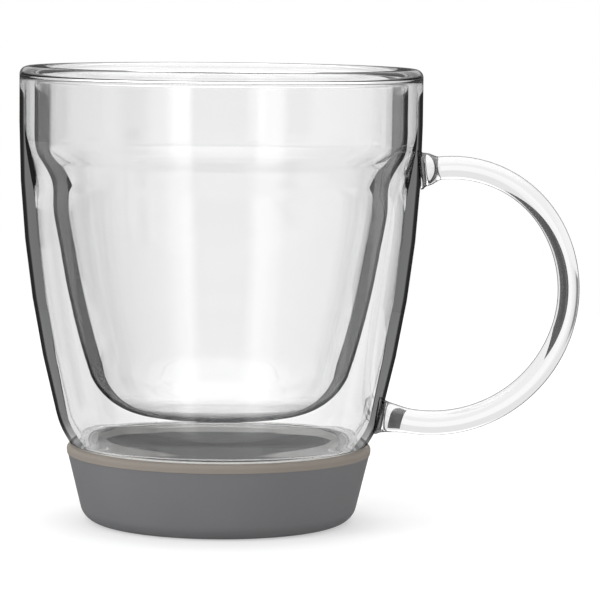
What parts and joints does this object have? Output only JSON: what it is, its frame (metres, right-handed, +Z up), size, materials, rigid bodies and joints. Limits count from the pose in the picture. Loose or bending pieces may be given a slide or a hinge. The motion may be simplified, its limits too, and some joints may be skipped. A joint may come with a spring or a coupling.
{
  "type": "double walled glass cup",
  "caption": "Clear glass mug with two fused walls and an air gap, a looped rod handle, and a grey silicone boot that the glass stands in and lifts out of.",
  "frame": {"origin": "the middle of the boot's flat underside, where the cup's axis meets the table", "axes": "+Z up along the cup's axis, +X towards the handle"},
  "size_m": [0.1313, 0.094, 0.1065],
  "materials": {
    "shell_glass": "clear, fire polished",
    "liner_glass": "clear, fire polished",
    "rim_glass": "clear, fire polished",
    "seal_glass": "clear, melted",
    "handle_glass": "clear, drawn rod",
    "bead_glass": "clear, melted",
    "silicone": "matt grey, moulded"
  },
  "bodies": {
    "base": {"silicone_base": "silicone"},
    "glass": {"outer_shell": "shell_glass", "inner_cup": "liner_glass", "rim_bead": "rim_glass", "vent_seal": "seal_glass", "handle": "handle_glass", "upper_handle_bead": "bead_glass", "lower_handle_bead": "bead_glass"}
  },
  "joints": [
    {"name": "glass_lift", "type": "slide", "parent": "base", "child": "glass", "axis": [0, 0, 1], "range_m": [0, 0.03]}
  ]
}
